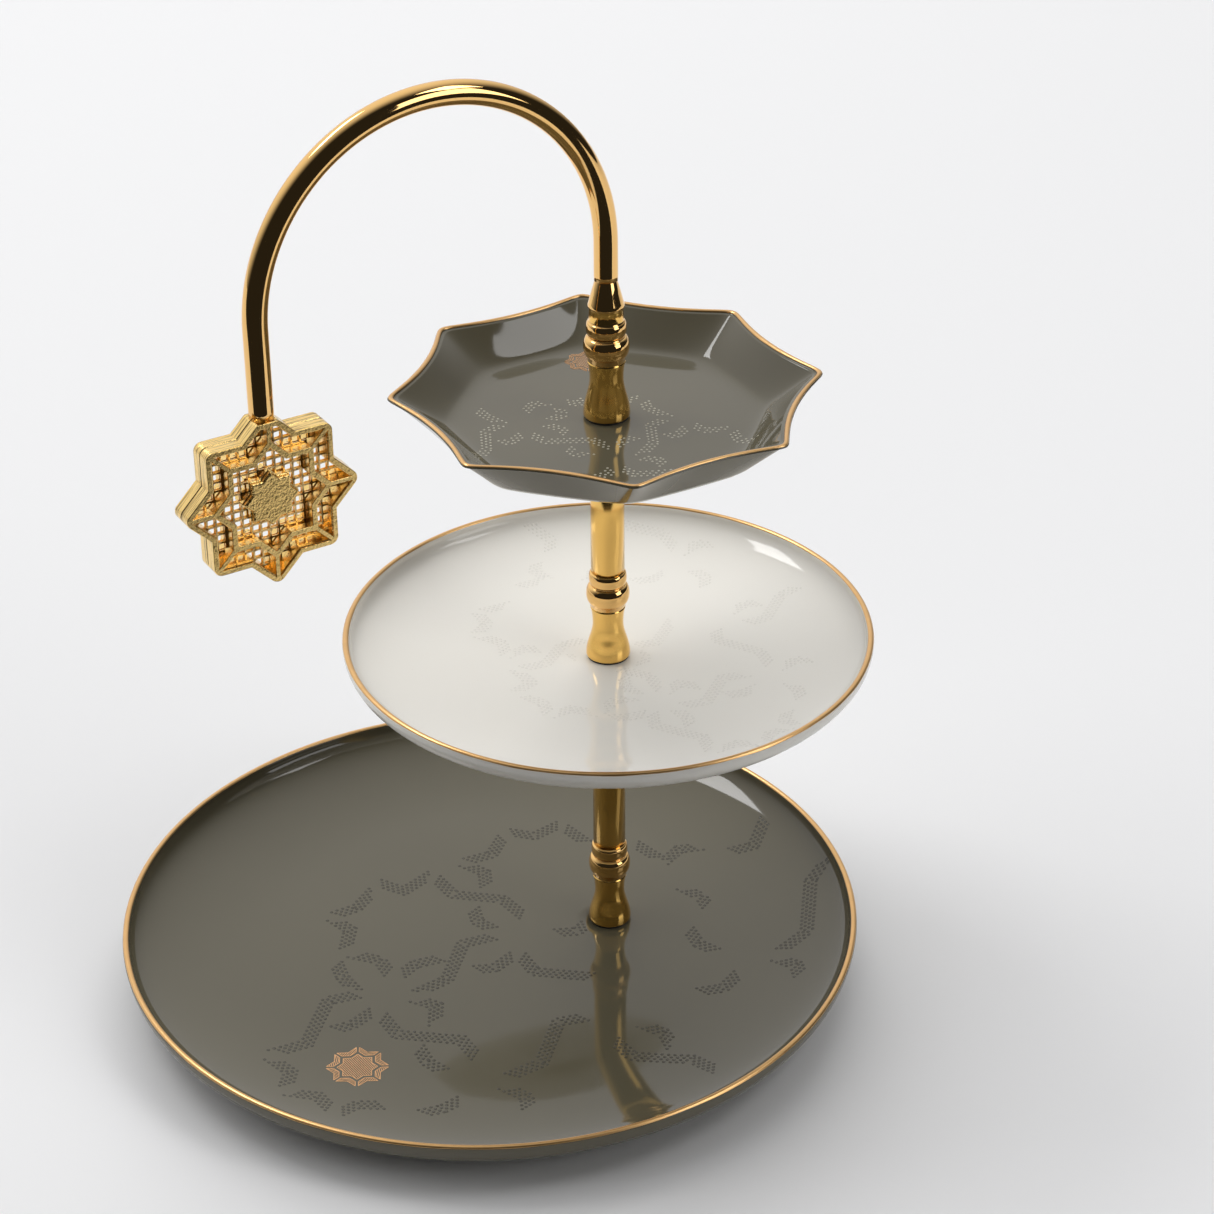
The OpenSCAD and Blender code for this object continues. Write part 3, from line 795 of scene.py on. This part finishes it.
ferrule_profile = np.concatenate([
    BORE, flare_curve(9.8, 17.4, 7.06, 24.7, 7.9), groove(24.7, 7.9), bead_curve(31.5, 4.4, 7.7, 9.6),
    bead_curve(39.7, 3.0, 7.5, 8.4, 15),
    [[7.15, 43.4], [7.15, 48.2], [7.3, 48.8], [7.54, 49.4], [7.58, 49.8], [7.54, 50.2], [7.3, 51.0],
     [6.0, 56.0], [4.8, 60.3], [4.6, 60.8], [4.5, 61.1], [4.0, 61.1], [4.0, 73.1], [3.0, 73.1],
     [3.0, 30.0]]])
add_turned("turned_ferrule", ferrule_profile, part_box("handle_ferrule")[0].z,
           [(25.6, 43.2), (48.5, 61.0)], "handle", "handle_ferrule")


def add_tube(name, low, high, body, cad_node):
    """A plain drawn tube with square, slightly eased ends."""
    ease = 0.15
    h = (high - low) / MM
    inner = TUBE_R - 1
    profile = [[inner, 0], [TUBE_R - ease, 0], [TUBE_R, ease], [TUBE_R, h / 2], [TUBE_R, h - ease],
               [TUBE_R - ease, h], [inner, h], [inner, h / 2]]
    add_turned(name, profile, low, [], body, cad_node)


for name in ("lower_tube", "middle_tube"):
    low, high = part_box(name)
    add_tube("column_" + name, low.z, high.z, "stand", name)

# ---- Handle tube ----
# One length of 10 mm tube bent into a swan neck: up from the ferrule, round a half circle,
# and down to the star. It is polished and plated all over.

HANDLE_R = 5 * MM
HANDLE_TURN = math.radians(180 + 15)
BEND_R = 77.9 * MM
BEND_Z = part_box("handle_tube")[1].z - BEND_R - HANDLE_R
HANDLE_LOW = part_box("star_spigot")[1].z - 12 * MM
FERRULE_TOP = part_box("handle_ferrule")[1].z - 12 * MM


def handle_path():
    """Centre line of the tube as [distance out from the column, height], with its tangents."""
    a = np.linspace(0, np.pi, 97)
    bend = np.stack([BEND_R - BEND_R * np.cos(a), BEND_Z + BEND_R * np.sin(a)], axis=1)
    rise = np.stack([np.zeros(8), np.linspace(FERRULE_TOP, BEND_Z, 9)[:-1]], axis=1)
    fall = np.stack([np.full(12, 2 * BEND_R), np.linspace(BEND_Z, HANDLE_LOW, 13)[1:]], axis=1)
    path = np.concatenate([rise, bend, fall])
    tangent = np.gradient(path, axis=0)
    tangent[:9] = (0, 1)
    tangent[-13:] = (0, -1)
    return path, tangent / np.linalg.norm(tangent, axis=1)[:, None]


def swept_rings(path, tangent, radius, steps=64):
    """Circles carried along the path, square to it, in the handle's own plane and frame."""
    a = np.linspace(0, 2 * np.pi, steps, endpoint=False)
    out = np.stack([tangent[:, 1], -tangent[:, 0]], axis=1)
    x = path[:, 0, None] + radius * np.cos(a) * out[:, 0, None]
    z = path[:, 1, None] + radius * np.cos(a) * out[:, 1, None]
    y = np.broadcast_to(radius * np.sin(a), x.shape)
    return np.stack([x, y, z], axis=-1)


def from_handle(points):
    """Points in the handle's frame, +X out along it from the column, put in the stand's frame."""
    c, s = math.cos(HANDLE_TURN), math.sin(HANDLE_TURN)
    x, y, z = np.moveaxis(points, -1, 0)
    return np.stack([COLUMN_X + c * x - s * y, s * x + c * y, z], axis=-1)


path, tangent = handle_path()
outside = swept_rings(path, tangent, HANDLE_R)
bright_bore = swept_rings(path, tangent, HANDLE_R - 1 * MM)[::-1]
handle_tube = add_grid("swan_neck", from_handle(np.concatenate([outside, bright_bore])))
handle_tube.data.materials.append(POLISHED)
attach(handle_tube, "handle")
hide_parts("handle_tube")

# ---- Hanging star ----
# Two cast brass halves back to back, gold plated. Each has an eight-pointed band, a smaller star
# held to it by struts, a square lattice behind them and a raised boss. The edge is brushed.

STAR_R = 38.2 * MM
STAR_ROUND = 3.6 * MM
STAR_HALF_T = 6 * MM
STAR_TOP = 33.6 * MM
STAR_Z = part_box("star_front")[1].z - STAR_TOP
EDGE_LEVELS = 4
INNER_STAR_R = 24.5 * MM
INNER_BAND_W = 2 * MM
STRUT_W = 1.8 * MM
BOSS_R = 12.5 * MM
LATTICE_PITCH = 3.8 * MM
PANEL_LOW = 0.3 * MM
PANEL_HIGH = 1.1 * MM
spread = np.linspace(-1, 1, 32, endpoint=False)
star_a = (np.arange(8)[:, None] * np.pi / 4 + np.sign(spread) * np.abs(spread) ** 1.6 * np.pi / 8).ravel()


def crossed_squares(a, sharp, soft, top):
    """Radius at angle a of two crossed squares whose corners would reach sharp. Each edge lies
    sharp / sqrt 2 from the centre; the corners are arcs of radius soft; the top is cut at height top."""
    b = np.abs(np.mod(a + np.pi / 8, np.pi / 4) - np.pi / 8)
    edge = sharp / np.sqrt(2) / np.cos(np.pi / 4 - b)
    c = sharp - soft * np.sqrt(2)
    corner = c * np.cos(b) + np.sqrt(np.maximum(soft ** 2 - (c * np.sin(b)) ** 2, 0))
    touch = np.arctan2(soft * np.sin(np.pi / 4), c + soft * np.cos(np.pi / 4))
    return np.minimum(np.where(b < touch, corner, edge), top / np.maximum(np.sin(a), 0.01))


def star_loft(sharp, soft, levels):
    """Rings of a star outline moved in by each level's inset, at each level's height off the seam."""
    rings = []
    for inset, z in np.array(levels) * MM:
        left = max(sharp - inset * math.sqrt(2), 0.02 * MM)
        r = crossed_squares(star_a, left, min(max(soft - inset, 0.3 * MM), 0.4 * left), STAR_TOP - inset)
        rings.append(np.stack([r * np.cos(star_a), r * np.sin(star_a), np.full(len(r), z)], axis=-1))
    return np.array(rings)


def cast_bar(start, end, section, swell):
    """A bar from start to end in the star's plane. section is a closed ring of [across, height], and
    swell(t) widens it, where t is the distance along the bar's own line through the star's axes."""
    length = np.linalg.norm(end - start)
    along = (end - start) / length
    across = np.array([-along[1], along[0]])
    u = np.linspace(0, length, max(int(length / (LATTICE_PITCH / 8)), 1) + 1)
    wide = swell(start @ along + u)
    xy = (start + u[:, None] * along)[:, None] + (wide[:, None] * section[:, 0])[..., None] * across
    z = np.broadcast_to(section[:, 1], xy.shape[:2])[..., None]
    points = np.concatenate([xy, z], axis=-1).reshape(-1, 3)
    sides = loop_faces(len(u), len(section), closed_across=False)
    cap = np.array([[0, 1, 2, 3], [0, 3, 4, 7], [7, 4, 5, 6]])
    return points, np.concatenate([sides, cap[:, ::-1], cap + (len(u) - 1) * len(section)])


def eight_sided(half_w, low, high, bevel):
    """A rectangle with its four corners cut."""
    return np.array([[half_w, low + bevel], [half_w, high - bevel], [half_w - bevel, high],
                     [bevel - half_w, high], [-half_w, high - bevel], [-half_w, low + bevel],
                     [bevel - half_w, low], [half_w - bevel, low]])


def lattice_bars():
    """Square grid of bars, a little fatter where they cross, cut to the inside of the band."""
    r = crossed_squares(star_a, STAR_R - 1.2 * MM, STAR_ROUND, STAR_TOP - 1 * MM)
    outline = np.stack([r * np.cos(star_a), r * np.sin(star_a)], axis=1)
    section = np.array([[0.85, PANEL_LOW], [1, PANEL_LOW + 0.15 * MM], [1, PANEL_HIGH - 0.2 * MM],
                        [0.75, PANEL_HIGH], [-0.75, PANEL_HIGH], [-1, PANEL_HIGH - 0.2 * MM],
                        [-1, PANEL_LOW + 0.15 * MM], [-0.85, PANEL_LOW]])

    def swell(t):
        return (0.42 + 0.16 * np.cos(np.pi * t / LATTICE_PITCH) ** 8) * MM

    bars = []
    for k in range(-10, 11):
        for axis in (0, 1):
            low, high = np.zeros(2), np.zeros(2)
            low[axis] = high[axis] = k * LATTICE_PITCH
            low[1 - axis], high[1 - axis] = -2 * STAR_R, 2 * STAR_R
            bars += [cast_bar(p, q, section, swell) for p, q in clip_to(outline, low, high)
                     if np.linalg.norm(q - p) > 0.8 * MM]
    return bars


def radial_struts():
    """Eight ribs from the inner star's points to the band's points."""
    section = eight_sided(STRUT_W / 2, PANEL_LOW, STAR_HALF_T - 0.05 * MM, 0.14 * MM)
    struts = []
    for k in range(8):
        out = np.array([math.cos(k * math.pi / 4), math.sin(k * math.pi / 4)])
        reach = (STAR_TOP if k == 2 else STAR_R - 1.5 * MM) - 1 * MM
        struts.append(cast_bar(out * (INNER_STAR_R - 1 * MM), out * reach, section, np.ones_like))
    return struts


def outward(points, faces):
    """The same faces, turned over if they enclose a negative volume."""
    a, b, c, d = (points[faces[:, k]] for k in range(4))
    volume = np.einsum("ij,ij->i", a, np.cross(b, c) + np.cross(c, d)).sum()
    return faces if volume > 0 else faces[:, ::-1]


def brushed(name, colour, rough, across_scale, along_scale, depth):
    """Plating over streaks that run round the star's edge, side by side through its thickness."""
    material, shader = new_material(name)
    tree = material.node_tree
    squared = node(tree, "ShaderNodeMapping", [(object_point(tree), "Vector")],
                   Rotation=(0, 0, -HANDLE_TURN))
    streak = node(tree, "ShaderNodeMapping", [(squared.outputs["Vector"], "Vector")],
                  Scale=(along_scale, across_scale, along_scale))
    lines = node(tree, "ShaderNodeTexNoise", [(streak.outputs["Vector"], "Vector")], Scale=1.0, Detail=4.0)
    cuts = node(tree, "ShaderNodeMapRange", [(lines.outputs["Fac"], "Value")],
                From_Min=0.36, From_Max=0.5, To_Min=0.0, To_Max=1.0)
    tone = two_tone(tree, cuts.outputs["Result"], [c * 0.4 for c in colour], colour)
    tree.links.new(tone, shader.inputs["Base Color"])
    roughen(tree, shader, lines.outputs["Fac"], depth, 0.3 * MM)
    shader.inputs["Metallic"].default_value = 1.0
    shader.inputs["Roughness"].default_value = rough
    return material


def as_cast(name, colour, rough, grain_scale, depth):
    """Plating over a sandy casting: a fine grain with scattered darker pits."""
    material, shader = new_material(name)
    tree = material.node_tree
    at = object_point(tree)
    grain = node(tree, "ShaderNodeTexNoise", [(at, "Vector")], Scale=grain_scale, Detail=3.0)
    pits = node(tree, "ShaderNodeMapRange", [(grain.outputs["Fac"], "Value")],
                From_Min=0.30, From_Max=0.42, To_Min=0.0, To_Max=1.0)
    tone = two_tone(tree, pits.outputs["Result"], [c * 0.35 for c in colour], colour)
    tree.links.new(tone, shader.inputs["Base Color"])
    roughen(tree, shader, grain.outputs["Fac"], depth, 0.3 * MM)
    shader.inputs["Metallic"].default_value = 1.0
    shader.inputs["Roughness"].default_value = rough
    return material


PALE_GOLD = (0.99, 0.69, 0.30)
CAST_GOLD = (1.0, 0.70, 0.26)
BRUSHED_EDGE = brushed("brushed_gold", CAST_GOLD, 0.18, 1300.0, 60.0, 0.9)
CAST_FACE = as_cast("cast_gold", CAST_GOLD, 0.27, 900.0, 0.3)
CAST_LATTICE = as_cast("lattice_gold", PALE_GOLD, 0.2, 500.0, 0.2)
CAST_BOSS = as_cast("boss_gold", CAST_GOLD, 0.26, 900.0, 0.8)

band_levels = [(0.3, 0.06), (0, 0.35), (0, 2.0), (0, 4.0), (0, 5.6), (0.1, 5.85), (0.3, 5.98),
               (1.9, 5.98), (2.0, 5.85), (2.1, 5.5), (2.4, 5.45), (2.5, 5.2), (2.5, 3.5), (2.5, 0.06)]
inner_band_levels = [(-0.2, 0.6), (-0.2, 5.7), (-0.1, 5.9), (0.05, 5.96), (1.95, 5.96), (2.1, 5.9),
                     (2.2, 5.7), (2.2, 0.6)]
boss_levels = [(0, 1.0), (0, 3.1), (0.5, 3.3), (0.5, 4.5), (0.85, 4.9), (1.3, 5.0), (4, 4.95), (8.7, 5.0),
               (8.7, 1.0)]


def star_half(name, side, cad_node):
    """One half of the star: every part of the casting in one mesh, stood up on the handle's end."""
    inner_r = INNER_STAR_R + INNER_BAND_W / math.sqrt(2)
    lofts = [(star_loft(STAR_R, STAR_ROUND, band_levels), CAST_FACE),
             (star_loft(inner_r, 1.2 * MM, inner_band_levels), CAST_FACE),
             (star_loft(BOSS_R, 0.6 * MM, boss_levels), CAST_BOSS)]
    parts = [(rings.reshape(-1, 3), loop_faces(*rings.shape[:2]), coat) for rings, coat in lofts]
    parts += [(*bar, CAST_LATTICE) for bar in lattice_bars()]
    parts += [(*strut, CAST_FACE) for strut in radial_struts()]
    coats = [BRUSHED_EDGE, CAST_FACE, CAST_LATTICE, CAST_BOSS]
    points, faces, paint, first = [], [], [], 0
    for k, (part, skin, coat) in enumerate(parts):
        x, y, z = part.T
        placed = from_handle(np.stack([2 * BEND_R + x, side * z, STAR_Z + y], axis=-1))
        points.append(placed)
        faces.append(outward(placed - placed.mean(axis=0), skin) + first)
        row = np.arange(len(skin)) // len(star_a)
        edge = (row < EDGE_LEVELS) if k == 0 else np.zeros(len(skin), bool)
        paint.append(np.where(edge, 0, coats.index(coat)))
        first += len(part)
    half = add_mesh(name, np.concatenate(points), np.concatenate(faces), smooth=False)
    for coat in coats:
        half.data.materials.append(coat)
    half.data.polygons.foreach_set("material_index", np.concatenate(paint).astype(np.int32))
    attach(half, "handle")
    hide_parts(cad_node)


star_half("pendant_front", 1, "star_front")
star_half("pendant_back", -1, "star_back")

# ---- Screw, studs, plugs, pads and gaskets ----
# The fixings hold the sections together: a steel screw and studs, brass plugs in the tubes, and
# black rubber between metal and glaze. They keep their own shapes.


def rubber(name):
    """Moulded black rubber with a fine matt grain and a trace of bloom."""
    material, shader = new_material(name)
    tree = material.node_tree
    at = object_point(tree)
    bloom = node(tree, "ShaderNodeTexNoise", [(at, "Vector")], Scale=120.0, Detail=3.0)
    tone = two_tone(tree, bloom.outputs["Fac"], (0.012, 0.012, 0.012), (0.032, 0.031, 0.030))
    tree.links.new(tone, shader.inputs["Base Color"])
    grain = node(tree, "ShaderNodeTexNoise", [(at, "Vector")], Scale=2500.0, Detail=2.0)
    roughen(tree, shader, grain.outputs["Fac"], 0.3, 0.05 * MM)
    shader.inputs["Roughness"].default_value = 0.62
    return material


ZINC_STEEL = plated("zinc_steel", (0.60, 0.61, 0.63), 0.32, 0.3, 1.5)
RAW_BRASS = plated("raw_brass", (0.80, 0.56, 0.22), 0.3, 0.3, 1.5)
BLACK_RUBBER = rubber("black_rubber")
fixings = {
    ZINC_STEEL: ("base_screw", "base_washer", "lower_stud", "upper_stud"),
    RAW_BRASS: ("lower_insert", "middle_insert", "star_spigot"),
    BLACK_RUBBER: ("base_pad", "lower_gasket", "middle_washer", "middle_gasket", "top_washer",
                   "top_gasket")}
for coat, names in fixings.items():
    for name in names:
        for holder in frame["nodes"][name].material_slots:
            holder.material = coat
